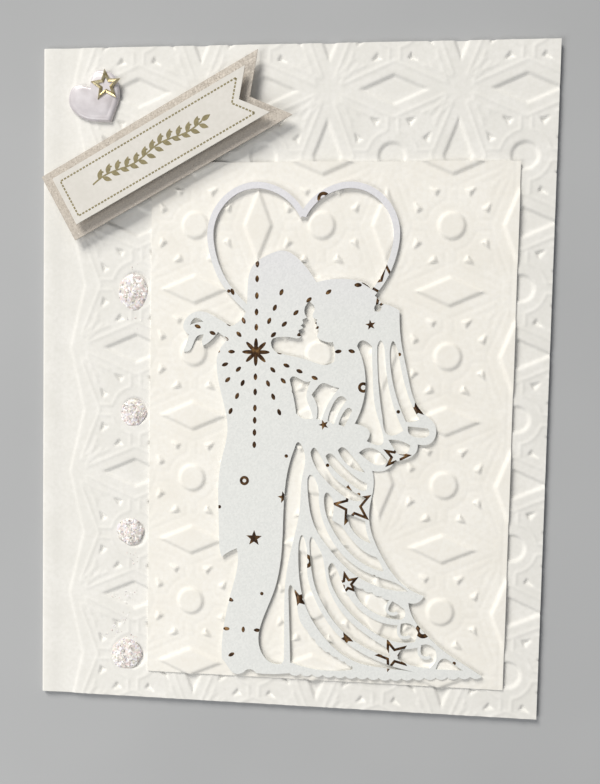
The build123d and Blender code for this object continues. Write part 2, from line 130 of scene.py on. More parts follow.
def lowest_near(height):
    """The lowest height within EVERY cells, read at every EVERY-th point of the grid."""
    window = 2 * EVERY + 1
    padded = np.pad(height, EVERY, mode="edge")
    views = np.lib.stride_tricks.sliding_window_view(padded, (window, window))
    return views[::EVERY, ::EVERY].min(axis=(2, 3))


def quads(grid):
    """The four-sided faces between neighbouring rows and columns of a grid of indices."""
    corners = [grid[:-1, :-1], grid[1:, :-1], grid[1:, 1:], grid[:-1, 1:]]
    return np.stack(corners, -1)


def closed_sheet(seen, hidden, hole=None):
    """A thin closed sheet: two grids of points, joined round their four edges.

    hidden has a point for every EVERY-th point of seen, so each face of the edge has two
    points of one and EVERY + 1 of the other. hole, in rows and columns of hidden, is a flat
    place where each grid becomes one large face.
    """
    s = np.arange(seen[..., 0].size).reshape(seen.shape[:2])
    h = s.size + np.arange(hidden[..., 0].size).reshape(hidden.shape[:2])
    groups = []
    for grid, step, way in ((s, EVERY, 1), (h, 1, -1)):
        cells = quads(grid)
        kept = np.ones(cells.shape[:2], bool)
        if hole:
            r0, r1, c0, c1 = (step * k for k in hole)
            kept[r0:r1, c0:c1] = False
            rim = [grid[r0:r1, c0], grid[r1, c0:c1], grid[r1:r0:-1, c1], grid[r0, c1:c0:-1]]
            groups.append(np.concatenate(rim)[None, ::way])
        groups.append(cells[kept][:, ::way])
    rims = [(s[0], h[0], 1), (s[-1], h[-1], -1), (s[:, 0], h[:, 0], -1), (s[:, -1], h[:, -1], 1)]
    for fine, coarse, way in rims:
        upper = np.stack([fine[k : len(fine) - EVERY + k : EVERY] for k in range(EVERY + 1)], -1)
        lower = np.stack([coarse[1:], coarse[:-1]], -1)
        groups.append(np.concatenate([upper, lower], 1)[:, ::way])
    points = np.concatenate([seen.reshape(-1, 3), hidden.reshape(-1, 3)])
    return points, groups


def piece(name, shape, finish, crease=60):
    """One object on the card's body, from points in millimetres and groups of faces."""
    points, groups = shape
    loops = np.concatenate([group.ravel() for group in groups])
    sizes = np.concatenate([np.full(len(group), group.shape[1]) for group in groups])
    used, loops = np.unique(loops, return_inverse=True)
    mesh = bpy.data.meshes.new(name)
    mesh.vertices.add(len(used))
    mesh.vertices.foreach_set("co", (points[used] / 1000).astype(np.float32).ravel())
    mesh.loops.add(len(loops))
    mesh.loops.foreach_set("vertex_index", loops.astype(np.int32).ravel())
    mesh.polygons.add(len(sizes))
    starts = np.concatenate([[0], np.cumsum(sizes)[:-1]]).astype(np.int32)
    mesh.polygons.foreach_set("loop_start", starts)
    mesh.update(calc_edges=True)
    mesh.validate()
    mesh.shade_smooth()
    mesh.set_sharp_from_angle(angle=np.radians(crease))
    mesh.materials.append(finish)
    thing = bpy.data.objects.new(name, mesh)
    bpy.context.scene.collection.objects.link(thing)
    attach(thing, "root")
    return thing


def linear(code):
    """An sRGB hex colour as linear red, green, blue and a full alpha."""
    c = np.array([int(code[k : k + 2], 16) for k in (1, 3, 5)]) / 255
    return (*np.where(c <= 0.04045, c / 12.92, ((c + 0.055) / 1.055) ** 2.4), 1.0)


def add(tree, kind, values=None, links=None, **settings):
    """One node, with its own settings, its socket values and the outputs linked to it."""
    made = tree.nodes.new(kind)
    for key, value in settings.items():
        setattr(made, key, value)
    for key, value in (values or {}).items():
        made.inputs[key].default_value = value
    for key, source in (links or {}).items():
        tree.links.new(source, made.inputs[key])
    return made


def finish(name, values):
    """A material with a Principled shader. Returns it, its tree, shader and coordinates."""
    made = bpy.data.materials.new(name)
    made.use_nodes = True
    tree = made.node_tree
    shader = tree.nodes["Principled BSDF"]
    for key, value in values.items():
        shader.inputs[key].default_value = value
    place = add(tree, "ShaderNodeTexCoord").outputs["Object"]
    return made, tree, shader, place


def per_mm(size):
    """The scale of a texture, in one per metre, whose features are size mm across."""
    return 1000 / size


def stops(ramp, *pairs):
    """Sets a ramp's colours: pairs of place and sRGB hex."""
    elements = ramp.color_ramp.elements
    while len(elements) < len(pairs):
        elements.new(0.5)
    for element, (at, code) in zip(elements, pairs):
        element.position, element.color = at, linear(code)


def card_stock(name, pale, dull, tooth, grain=0.5):
    """Uncoated stock: matt cellulose (IOR 1.47), mottled by how the pulp settled.

    Cloudy formation about 7 mm across, fibre flocks 0.9 mm across, and a tooth drawn at
    grain mm, which is coarser than the real 0.05 mm so that it shows.
    """
    made, tree, shader, place = finish(name, {"IOR": 1.47, "Roughness": 0.7})
    cloud = add(tree, "ShaderNodeTexNoise", {"Scale": per_mm(7), "Detail": 3}, {"Vector": place})
    flock = add(tree, "ShaderNodeTexNoise", {"Scale": per_mm(0.9), "Detail": 4}, {"Vector": place})
    both = add(
        tree,
        "ShaderNodeMath",
        links={0: cloud.outputs[0], 1: flock.outputs[0]},
        operation="MULTIPLY",
    )
    ramp = add(tree, "ShaderNodeValToRGB", links={0: both.outputs[0]})
    stops(ramp, (0.12, dull), (0.38, pale))
    tree.links.new(ramp.outputs[0], shader.inputs["Base Color"])
    gloss = add(tree, "ShaderNodeMapRange", {3: 0.62, 4: 0.8}, {0: flock.outputs[0]})
    tree.links.new(gloss.outputs[0], shader.inputs["Roughness"])
    fine = add(tree, "ShaderNodeTexNoise", {"Scale": per_mm(grain), "Detail": 5}, {"Vector": place})
    bump = add(
        tree,
        "ShaderNodeBump",
        {"Strength": tooth, "Distance": 0.00006},
        {"Height": fine.outputs[0]},
    )
    tree.links.new(bump.outputs[0], shader.inputs["Normal"])
    return made


BASE_PITCH = 26.9
BASE_STAR = (card_low[0] + 61.25, card_high[1] - 9.5)
LEDGE = 1.3  # how far the embossing runs on behind the second sheet
BARE_FROM = LEDGE + 0.9  # past this, behind the second sheet, the leaf is one flat face
LINE = 0.11  # height of the thin scored lines
PLAIN = 5.2  # width of the strip by the fold that has no figures
CREASE_IN, CREASE_SWING = 5.9, 6.2  # nearest to the fold, and how far its zigzag swings
STRIP_DROP = 0.2
LEAF_COLUMNS, LEAF_ROWS = 115, 156  # points of the hidden side
fold_r = front_z / 2
fold_x = card_low[0] + fold_r
plain_x = card_low[0] + PLAIN

across = np.concatenate(
    [
        np.linspace(card_high[0], plain_x, LEAF_COLUMNS),
        np.linspace(plain_x, fold_x, 3)[1:],
    ]
)
upward = np.linspace(card_low[1], card_high[1], LEAF_ROWS)
turn = np.radians(np.linspace(90, 270, 5))
back = np.linspace(fold_x, card_high[0], 2)


def folded_path(places, angles, floor, radius):
    """The sheet's line across: along the front, round the fold and back along the floor."""
    x = [places, fold_x + radius * np.cos(angles[1:-1]), floor]
    z = [
        np.full(len(places), fold_r + radius),
        fold_r + radius * np.sin(angles[1:-1]),
        np.full(len(floor), fold_r - radius),
    ]
    return np.concatenate(x), np.concatenate(z)


def base_relief(x, y):
    """Height of the front leaf's pressed face over its flat level.

    Towards the fold the embossing ends at a zigzag crease, one point to each star, and the
    plain strip beyond it is pressed a little lower, fading out before the fold.
    """
    depth, lines = lattice(x, y, BASE_STAR, BASE_PITCH)
    step = (y - BASE_STAR[1]) / BASE_PITCH
    crease = card_low[0] + CREASE_IN + CREASE_SWING * np.abs(step - np.round(step))
    strip = (1 - rise((x - crease) / 0.8)) * rise((x - card_low[0] - 1.6) / 3.4)
    inside = np.minimum.reduce(
        [x - panel_low[0], panel_high[0] - x, y - panel_low[1], panel_high[1] - y]
    )
    shown = 1 - rise((inside - 0.5) / (LEDGE - 0.5))
    margin = rise((x - crease - 1.8) / 0.6)
    figures = (LINE * lines * (inside < -0.05) - SQUEEZE * depth) * shown * margin
    return figures - STRIP_DROP * strip


seen_x, seen_z = folded_path(threefold(across), threefold(turn), threefold(back), fold_r)
seen_y = threefold(upward)
seen = np.empty((len(seen_y), len(seen_x), 3))
seen[..., 0], seen[..., 1], seen[..., 2] = seen_x, seen_y[:, None], seen_z
front = EVERY * (len(across) - 1) + 1
pressed = base_relief(seen[:, :front, 0], seen[:, :front, 1])
seen[:, :front, 2] += pressed
hidden_x, hidden_z = folded_path(across, turn, back, fold_r - STOCK)
hidden = np.empty((len(upward), len(hidden_x), 3))
hidden[..., 0], hidden[..., 1], hidden[..., 2] = hidden_x, upward[:, None], hidden_z
hidden[:, : len(across), 2] += lowest_near(pressed)
from_x, from_y = panel_low[:2] + BARE_FROM
to_x, to_y = panel_high[:2] - BARE_FROM
covered_x = np.flatnonzero((across > from_x) & (across < to_x))
covered_y = np.flatnonzero((upward > from_y) & (upward < to_y))
hole = (covered_y[0], covered_y[-1], covered_x[0], covered_x[-1])
card_white = card_stock("embossed_card_stock", "#F3F2EF", "#EBEAE6", 0.35)
sheet = piece("folded_card", closed_sheet(seen, hidden, hole), card_white)
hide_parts("card_base")

# ---------------------------------------------------------------------------------------
# Second sheet. A slightly creamier stock from the same folder, turned over, so its figures
# stand up. Four strips of clear-backed tape hold it to the leaf.
# ---------------------------------------------------------------------------------------

PANEL_PITCH = 26.8
panel_mid = (panel_low + panel_high) / 2
PANEL_STAR = (panel_mid[0] + 11.4, panel_mid[1] + 28.3)
PANEL_LINE = 0.05
PANEL_COLUMNS, PANEL_ROWS = 80, 114  # points of the hidden side


def panel_relief(x, y):
    """Height of the second sheet's face: figures up, scored lines and folder's rim down."""
    depth, lines = lattice(x, y, PANEL_STAR, PANEL_PITCH)
    rim = np.maximum(scored(panel_high[0] - 0.9 - x), scored(y - panel_low[1] - 2.8))
    return SQUEEZE * depth - PANEL_LINE * np.maximum(lines, rim * (1 - depth))


across = np.linspace(panel_high[0], panel_low[0], PANEL_COLUMNS)
upward = np.linspace(panel_low[1], panel_high[1], PANEL_ROWS)
seen = np.empty((EVERY * (PANEL_ROWS - 1) + 1, EVERY * (PANEL_COLUMNS - 1) + 1, 3))
seen[..., 0], seen[..., 1] = threefold(across), threefold(upward)[:, None]
raised = panel_relief(seen[..., 0], seen[..., 1])
seen[..., 2] = panel_low[2] + STOCK + raised
hidden = np.empty((PANEL_ROWS, PANEL_COLUMNS, 3))
hidden[..., 0], hidden[..., 1] = across, upward[:, None]
hidden[..., 2] = np.maximum(panel_low[2] + lowest_near(raised), front_z + 0.01)
panel_cream = card_stock("embossed_cream_stock", "#FAF8F3", "#F4F1EA", 0.35)
panel = piece("raised_panel", closed_sheet(seen, hidden), panel_cream)
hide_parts("embossed_panel")

# Acrylic tape: clear glue on a clear film, faintly streaked, which greys the card below.
tape_film, tree, shader, place = finish("acrylic_tape", {"IOR": 1.47, "Roughness": 0.4})
streak = add(tree, "ShaderNodeTexNoise", {"Scale": per_mm(2.5), "Detail": 2}, {"Vector": place})
ramp = add(tree, "ShaderNodeValToRGB", links={0: streak.outputs[0]})
stops(ramp, (0.35, "#DEDCD2"), (0.65, "#ECEBE4"))
tree.links.new(ramp.outputs[0], shader.inputs["Base Color"])
for side in ("top", "bottom", "left", "right"):
    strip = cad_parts[f"panel_tape_{side}"]
    strip.data.materials.clear()
    strip.data.materials.append(tape_film)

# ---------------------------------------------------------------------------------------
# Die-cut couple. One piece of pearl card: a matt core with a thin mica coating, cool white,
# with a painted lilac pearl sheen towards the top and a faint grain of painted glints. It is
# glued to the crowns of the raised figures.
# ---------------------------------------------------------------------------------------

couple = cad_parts["couple_die_cut"]
pearl, tree, shader, place = finish(
    "pearl_card", {"IOR": 1.5, "Coat Weight": 0.08, "Coat Roughness": 0.45, "Coat IOR": 1.5}
)
axis = add(tree, "ShaderNodeSeparateXYZ", links={0: place})
# Painted sheen: the pearl card turns lilac towards its top, mixed into its colour by height.
height = add(tree, "ShaderNodeMapRange", {1: 0.012, 2: 0.036}, {0: axis.outputs["Y"]})
painted_pearl_sheen = add(tree, "ShaderNodeMix", links={0: height.outputs[0]}, data_type="RGBA")
painted_pearl_sheen.inputs[6].default_value, painted_pearl_sheen.inputs[7].default_value = linear("#EEF0EF"), linear("#EBEBF1")
# Real mica is finer than 0.1 mm, so its glints are painted into the colour 0.35 mm across.
mica = add(tree, "ShaderNodeTexVoronoi", {"Scale": per_mm(0.35)}, {"Vector": place})
painted_mica_glint = add(tree, "ShaderNodeValToRGB", links={0: mica.outputs["Color"]})
stops(painted_mica_glint, (0.1, "#E6E7E8"), (0.85, "#FFFFFF"))
mixed = add(
    tree,
    "ShaderNodeMix",
    {0: 0.4},
    {6: painted_pearl_sheen.outputs[2], 7: painted_mica_glint.outputs[0]},
    data_type="RGBA",
    blend_type="MULTIPLY",
)
tree.links.new(mixed.outputs[2], shader.inputs["Base Color"])
gloss = add(tree, "ShaderNodeMapRange", {3: 0.5, 4: 0.66}, {0: mica.outputs["Distance"]})
tree.links.new(gloss.outputs[0], shader.inputs["Roughness"])
tooth = add(tree, "ShaderNodeTexNoise", {"Scale": per_mm(0.6), "Detail": 4}, {"Vector": place})
bump = add(
    tree,
    "ShaderNodeBump",
    {"Strength": 0.25, "Distance": 0.00005},
    {"Height": tooth.outputs[0]},
)
tree.links.new(bump.outputs[0], shader.inputs["Normal"])
couple.data.materials.clear()
couple.data.materials.append(pearl)

# ---------------------------------------------------------------------------------------
# Foil print. Thin brown-gold foil hot-stamped on the pearl card before it was cut: one burst
# of dashes round a star, and scattered stars, rings, dots and dashes, trimmed by the cut edge.
# Painted glints of light gold show on its brown. The film is drawn 0.02 mm thick.
# ---------------------------------------------------------------------------------------

FOIL = 0.02
FOIL_LINE = 0.55  # stroke of the open stars
WAIST = 0.42  # a star's notches over its tips


def prisms(outline, places, low, high):
    """Copies of one flat outline as closed prisms.

    Each place is x, y, turn in degrees and scale. A copy's points are the outline's, turned
    by cos and sin and moved; its faces are the top, the bottom and a wall of quads.
    """
    outline, places = np.asarray(outline, float), np.atleast_2d(np.asarray(places, float))
    n, count = len(outline), len(places)
    c, s = np.cos(np.radians(places[:, 2])), np.sin(np.radians(places[:, 2]))
    turned = np.stack([np.stack([c, -s], -1), np.stack([s, c], -1)], 1) * places[:, 3, None, None]
    flat = np.einsum("kij,nj->kni", turned, outline) + places[:, None, :2]
    points = np.empty((count, 2, n, 3))
    points[..., :2] = flat[:, None]
    points[:, 0, :, 2], points[:, 1, :, 2] = low, high
    index = np.arange(count * 2 * n).reshape(count, 2, n)
    after = np.roll(index, -1, axis=2)
    walls = np.stack([index[:, 0], after[:, 0], after[:, 1], index[:, 1]], -1).reshape(-1, 4)
    return points.reshape(-1, 3), [index[:, 1], index[:, 0, ::-1], walls]


def wrapped(loops, ends=False):
    """A surface through a stack of closed loops of points.

    With ends, the first and last loops are closed by a face each; without, the last loop
    joins the first, as in a ring.
    """
    loops = np.asarray(loops, float)
    index = np.arange(loops[..., 0].size).reshape(loops.shape[:2])
    after = np.roll(index, -1, axis=1)
    lower, upper = (index[:-1], index[1:]) if ends else (index, np.roll(index, -1, axis=0))
    lower_after, upper_after = np.roll(lower, -1, axis=1), np.roll(upper, -1, axis=1)
    walls = np.stack([lower, lower_after, upper_after, upper], -1).reshape(-1, 4)
    groups = [walls] + ([index[:1, ::-1], index[-1:]] if ends else [])
    return loops.reshape(-1, 3), groups


def together(shapes):
    """Several shapes as one, each one's face indices moved past the points before it."""
    points, groups, start = [], [], 0
    for more, faces in shapes:
        points.append(more)
        groups += [face + start for face in faces]
        start += len(more)
    return np.concatenate(points), groups


def circle(radius, count=20):
    """Points round a circle, anticlockwise."""
    t = np.arange(count) / count * 2 * np.pi
    return np.stack([radius * np.cos(t), radius * np.sin(t)], -1)


def star_outline(tips, outer, inner):
    """Points that go by turns out to the tips and in to the notches of a star."""
    t = np.pi / 2 + np.arange(2 * tips) * np.pi / tips
    r = np.where(np.arange(2 * tips) % 2, inner, outer)
    return np.stack([r * np.cos(t), r * np.sin(t)], -1)


def ring(radius, stroke, place, low, high):
    """A flat ring: four circles, outer and inner, low and high, wrapped into a tube."""
    rims = []
    for r, z in ((radius, low), (radius, high), (radius - stroke, high), (radius - stroke, low)):
        rim = circle(r, 24) + np.array(place)
        rims.append(np.column_stack([rim, np.full(24, z)]))
    return wrapped(rims)


# Places are in millimetres from the card's middle, and turns are in degrees.
BURST = (-6.8, 6.1)
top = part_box("couple_die_cut")[1][2] * 1000
low, high = top - 0.05, top + FOIL  # sunk a little, so that the film meets the card
straight = [(a, r) for a in range(0, 360, 45) for r in (5.2, 8.4, 11.8)]
between = [(a + 22.5, r) for a in range(0, 360, 45) for r in (7.1, 10.1, 13.6)]
longer = [(90, 15.3), (90, 18.4), (270, 14.4), (270, 17), (270, 19.6), (45, 15.6), (135, 15.4)]
angle, reach = np.array(straight + between + longer).T
spread = np.stack(
    [
        BURST[0] + reach * np.cos(np.radians(angle)),
        BURST[1] + reach * np.sin(np.radians(angle)),
        angle,
        np.ones(len(angle)),
    ],
    -1,
)
t = np.arange(14) / 14 * 2 * np.pi
pill = np.stack([0.72 * np.cos(t), 0.32 * np.sin(t) * (1 + 0.25 * np.sin(t) ** 2)], -1)
arm = np.stack([0.75 * np.cos(t) * 2, 0.42 * np.sin(t)], -1) + (1.45, 0)
arms = [(*BURST, 45 * k, 1) for k in range(8)]
loose_dashes = [  # x, y, turn and scale
    (10.6, 6.5, 10, 1), (13.4, 6.6, -15, 1), (8.3, 18.8, 40, 1), (14.4, 20.3, 0, 1.1),
    (5.6, 12.1, 70, 0.8), (-12.2, -53.4, 0, 1), (-8.5, -53.4, 90, 0.9), (-5.5, -53.4, 0, 1),
    (-11.4, -47, -25, 1), (-11, -59, 30, 1),
]  # fmt: skip
dots = [  # x and y
    (-14.1, -27), (0.1, -15.7), (-4.6, -45.4), (8.9, -17.4), (13.3, -22), (15.6, -23.4),
    (36.5, -58.4), (19.2, -40.7), (23.3, 6.1), (23.4, -5.8), (-12.8, 18.8),
]  # fmt: skip
small_stars = [  # x, y, turn and reach of the tips
    (17.2, 12.1, 10, 1.1), (-6.5, -33.5, 0, 1.75), (7.9, -8.9, 20, 1.1), (-0.3, -24.5, 12, 1.3),
    (3.2, -46.2, 20, 2.2), (13.8, -54.2, 30, 1.6), (27.3, -5.2, 15, 1.8),
]  # fmt: skip
large_stars = [  # the same
    (14.4, -25.8, 14, 4.6), (23.3, -15.2, -10, 3.2), (13.6, -42.5, 15, 2.9),
    (23.6, -57.4, 20, 3.8), (20.6, 19.8, 8, 5.6),
]  # fmt: skip
rings = [  # radius, stroke, x and y
    (1.0, 0.6, -8.8, -21.2), (1.1, 0.6, 16.0, -0.9), (1.3, 0.7, 6.8, 38.1),
    (1.5, 0.8, 4.7, -38), (1.6, 0.9, 29.8, -51.8),
]  # fmt: skip


def turned_by(degrees):
    """The matrix that turns rows of flat points anticlockwise."""
    c, s = np.cos(np.radians(degrees)), np.sin(np.radians(degrees))
    return np.array([[c, s], [-s, c]])


def open_star(x, y, degrees, size, low, high):
    """A star with a smaller star cut out, leaving a stroke FOIL_LINE wide all round.

    A side lies 0.36 of the tips' reach from the middle, which gives the smaller star's size.
    """
    hollow = 1 - FOIL_LINE / (0.36 * size)
    outline = star_outline(5, 1, WAIST)
    return wrapped(
        [
            np.column_stack([outline * k * size @ turned_by(degrees) + (x, y), np.full(10, z)])
            for k, z in ((1, low), (1, high), (hollow, high), (hollow, low))
        ]
    )


stamps = [
    prisms(pill, spread, low, high),
    *[prisms(arm, place, low, high) for place in arms],
    prisms(pill, loose_dashes, low, high),
    prisms(circle(0.38, 10), [(x, y, 0, 1) for x, y in dots], low, high),
    prisms(star_outline(5, 1, WAIST), small_stars, low, high),
    *[open_star(*large, low, high) for large in large_stars],
    *[ring(radius, stroke, (x, y), low, high) for radius, stroke, x, y in rings],
]
foil, tree, shader, place = finish("hot_stamped_foil", {"Metallic": 0.6, "Roughness": 0.34})
# Painted glints: light gold patches in the foil's colour; the same noise sets its roughness.
painted_foil_glint = add(tree, "ShaderNodeTexNoise", {"Scale": per_mm(1.2), "Detail": 3}, {"Vector": place})
ramp = add(tree, "ShaderNodeValToRGB", links={0: painted_foil_glint.outputs[0]})
stops(ramp, (0.4, "#3E2A1A"), (0.56, "#614529"), (0.72, "#A07A48"))
tree.links.new(ramp.outputs[0], shader.inputs["Base Color"])
gloss = add(tree, "ShaderNodeMapRange", {3: 0.28, 4: 0.5}, {0: painted_foil_glint.outputs[0]})
tree.links.new(gloss.outputs[0], shader.inputs["Roughness"])


def trimmed(stamp, paper):
    """The stamped shapes kept only where they meet a copy of the paper raised by 0.1 mm."""
    outline = bpy.data.objects.new("outline", paper.data.copy())
    bpy.context.scene.collection.objects.link(outline)
    welded = bmesh.new()
    welded.from_mesh(outline.data)
    bmesh.ops.remove_doubles(welded, verts=welded.verts, dist=1e-6)
    bmesh.ops.translate(welded, verts=welded.verts, vec=(0, 0, 0.0001))
    welded.to_mesh(outline.data)
    welded.free()
    clip = stamp.modifiers.new("trim", "BOOLEAN")
    clip.operation, clip.solver, clip.object = "INTERSECT", "EXACT", outline
    clip.use_self = True
    graph = bpy.context.evaluated_depsgraph_get()
    cut = bpy.data.meshes.new_from_object(stamp.evaluated_get(graph))
    stamp.modifiers.clear()
    stamp.data = cut
    bpy.data.objects.remove(outline)


foil_print = piece("foil_print", together(stamps), foil, 30)
trimmed(foil_print, couple)

# ---------------------------------------------------------------------------------------
# Foam pads. Closed-cell polyethylene mounting foam with paper-white tape on both faces,
# three under each layer of the banner; the cells are drawn 0.5 mm across.
# ---------------------------------------------------------------------------------------

foam, tree, shader, place = finish("polyethylene_foam", {"IOR": 1.5, "Roughness": 0.75})
cell = add(tree, "ShaderNodeTexVoronoi", {"Scale": per_mm(0.5)}, {"Vector": place})
# Painted shade: each cell is greyer in its hollow, where the bump sinks.
ramp = add(tree, "ShaderNodeValToRGB", links={0: cell.outputs["Distance"]})
stops(ramp, (0.0, "#D9D8D2"), (0.6, "#F4F3EE"))
tree.links.new(ramp.outputs[0], shader.inputs["Base Color"])
bump = add(
    tree,
    "ShaderNodeBump",
    {"Strength": 0.6, "Distance": 0.0001},
    {"Height": cell.outputs["Distance"]},
)
tree.links.new(bump.outputs[0], shader.inputs["Normal"])
for k in (1, 2, 3):
    for layer in ("banner", "label"):
        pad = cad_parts[f"{layer}_foam_{k}"]
        pad.data.materials.clear()
        pad.data.materials.append(foam)

# ---------------------------------------------------------------------------------------
# Banner backing. Card flocked with champagne glitter, cut with a swallow tail. The glitter
# is loose flakes in clear binder, so each grain tips its own way and a few stand proud.
# ---------------------------------------------------------------------------------------

backing_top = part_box("banner_backing")[1][2] * 1000
label_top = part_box("banner_label")[1][2] * 1000
BANNER_AT = (card_low[0] + 27.3, card_high[1] - 21.2)
BANNER_ANGLE = 29.2
BACKING = (52.8, 15.2, 6.0)  # length, width and depth of the tail
LABEL = (46.6, 10.8, 4.3)
LABEL_SHIFT = -0.8  # along the banner
LOOSE_FLAKES = 420  # tried over the whole backing, and kept where it isn't covered
TUCK = 0.3  # how far they run on under the label


def glitter(name, grain, tilt, colours, values):
    """Flakes grain mm across, each with its own colour and its own tilt off the surface."""
    made, tree, shader, place = finish(name, values)
    flake = add(tree, "ShaderNodeTexVoronoi", {"Scale": per_mm(grain)}, {"Vector": place})
    ramp = add(tree, "ShaderNodeValToRGB", links={0: flake.outputs["Color"]})
    stops(ramp, *colours)
    ramp.color_ramp.interpolation = "CONSTANT"
    tree.links.new(ramp.outputs[0], shader.inputs["Base Color"])
    level = add(tree, "ShaderNodeNewGeometry").outputs["Normal"]
    spread = add(
        tree,
        "ShaderNodeVectorMath",
        {1: (0.5, 0.5, 0.5)},
        {0: flake.outputs["Color"]},
        operation="SUBTRACT",
    )
    tipped = add(
        tree,
        "ShaderNodeVectorMath",
        {1: (tilt, tilt, tilt)},
        {0: spread.outputs[0], 2: level},
        operation="MULTIPLY_ADD",
    )
    unit = add(tree, "ShaderNodeVectorMath", None, {0: tipped.outputs[0]}, operation="NORMALIZE")
    tree.links.new(unit.outputs[0], shader.inputs["Normal"])
    return made


def flakes(x, y, z, size, seed):
    """Flat four-sided flakes, pointed above and below, each tipped by a random turn.

    Corners lie half of size out along two crossed directions of a random frame, and about an
    eighth of that along the third.
    """
    draw = np.random.default_rng(seed)
    count = len(x)
    normal = draw.normal(size=(count, 3)) * (0.45, 0.45, 0) + (0, 0, 1)
    normal /= np.linalg.norm(normal, axis=1, keepdims=True)
    spin = draw.normal(size=(count, 3))
    first = np.cross(normal, spin)
    first /= np.linalg.norm(first, axis=1, keepdims=True)
    second = np.cross(normal, first)
    centre = np.stack([x, y, z], -1)
    arms = np.stack([first, second, -first, -second, normal * 0.12, -normal * 0.12], 1)
    points = centre[:, None] + arms * (size / 2)[:, None, None]
    index = 6 * np.arange(count)[:, None]
    rim = [(0, 1), (1, 2), (2, 3), (3, 0)]
    faces = [(a, b, 4) for a, b in rim] + [(b, a, 5) for a, b in rim]
    groups = [index + np.array(face) for face in faces]
    return points.reshape(-1, 3), groups


def along_banner(points):
    """Points of the banner's own axes, turned and moved to its place on the card."""
    t = np.radians(BANNER_ANGLE)
    x = BANNER_AT[0] + points[..., 0] * np.cos(t) - points[..., 1] * np.sin(t)
    y = BANNER_AT[1] + points[..., 0] * np.sin(t) + points[..., 1] * np.cos(t)
    return np.stack([x, y], -1)


champagne = glitter(
    "champagne_glitter",
    0.2,
    0.2,
    [(0, "#C3BAAF"), (0.3, "#CBC3B9"), (0.6, "#CFC7BD"), (0.95, "#E9E2D9")],
    {"Metallic": 0.1, "Roughness": 0.42},
)
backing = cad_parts["banner_backing"]
backing.data.materials.clear()
backing.data.materials.append(champagne)
draw = np.random.default_rng(11)
limit = np.array(BACKING[:2]) / 2 - 0.1
tried = draw.uniform(-limit, limit, (LOOSE_FLAKES, 2))
notch = BACKING[0] / 2 - BACKING[2] * (1 - np.abs(tried[:, 1]) / (BACKING[1] / 2)) - 0.2
label_left = LABEL_SHIFT - LABEL[0] / 2 + TUCK
label_right = LABEL_SHIFT + LABEL[0] / 2 - LABEL[2] - TUCK - 0.4
bare = np.abs(tried[:, 1]) > LABEL[1] / 2 - TUCK
bare |= (tried[:, 0] < label_left) | (tried[:, 0] > label_right)
spots = tried[bare & (tried[:, 0] < notch)]
size = draw.uniform(0.16, 0.3, len(spots))
laid = along_banner(spots)
loose = flakes(laid[:, 0], laid[:, 1], np.full(len(spots), backing_top + 0.03), size, 12)
piece("backing_glitter", loose, champagne, 10)

# ---------------------------------------------------------------------------------------
# Label. Smooth warm-white card with the same tail, printed in khaki ink that dries glossier
# than the card: a stitched-look line inside its edge and a leafy sprig along the middle.
# The ink is drawn 0.02 mm thick.
# ---------------------------------------------------------------------------------------

INK = 0.02
label_card = card_stock("smooth_label_card", "#E9E6E1", "#E0DDD7", 0.15, 0.35)
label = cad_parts["banner_label"]
label.data.materials.clear()
label.data.materials.append(label_card)


def inset(corners, gap):
    """A straight-sided anticlockwise outline with every side moved in by gap."""
    corners = np.asarray(corners, float)
    ahead = np.roll(corners, -1, 0) - corners
    inward = np.stack([-ahead[:, 1], ahead[:, 0]], -1) / np.hypot(*ahead.T)[:, None]
    before, bends = np.roll(inward, 1, 0), []
    for a, b in zip(before, inward):
        bends.append(np.linalg.solve([a, b], [gap, gap]))
    return corners + np.array(bends)


def paced(corners, step):
    """Places at even steps along a closed line of straight sides: x, y and its direction."""
    places = []
    for start, end in zip(corners, np.roll(corners, -1, 0)):
        count = max(1, int(round(np.hypot(*(end - start)) / step)))
        at = start + (end - start) * ((np.arange(count) + 0.5) / count)[:, None]
        way = np.degrees(np.arctan2(*(end - start)[::-1]))
        places.append(np.column_stack([at, np.full(count, way)]))
    return np.concatenate(places)


def printed(outline, places, film=INK):
    """Copies of an outline laid on the label, each place being x, y, turn and scale there."""
    places = np.atleast_2d(np.asarray(places, float)).copy()
    places[:, :2] = along_banner(places[:, :2] + (LABEL_SHIFT, 0))
    places[:, 2] += BANNER_ANGLE
    return prisms(outline, places, label_top, label_top + film)


half_l, half_w, tail = LABEL[0] / 2, LABEL[1] / 2, LABEL[2]
edge = [(-half_l, -half_w), (half_l, -half_w), (half_l - tail, 0)]
edge += [(half_l, half_w), (-half_l, half_w)]
STITCH_IN, STITCH_PACE, STITCH = 1.3, 0.78, (0.52, 0.34)  # from the edge, apart, size
stitches = paced(inset(edge, STITCH_IN), STITCH_PACE)
dash = np.array([(-1, -1), (1, -1), (1, 1), (-1, 1)]) * STITCH / 2
t = np.linspace(0, 1, 9)
LEAF_LENGTH, LEAF_HALF = 2.3, 0.62
side = np.stack([LEAF_LENGTH * t, LEAF_HALF * np.sin(np.pi * t) * (1 - 0.35 * t)], -1)
leaf = np.concatenate([side[:-1] * (1, -1), side[:0:-1]])
SPRIG_START, SPRIG_END = -16.2, 10.2
LEAVES = 12  # on each side of the stem


def swaying(x):
    """The stem's line: two waves of a sine, 0.45 mm high, from its start to its end."""
    return 0.45 * np.sin((x - SPRIG_START) / (SPRIG_END - SPRIG_START) * 4 * np.pi)


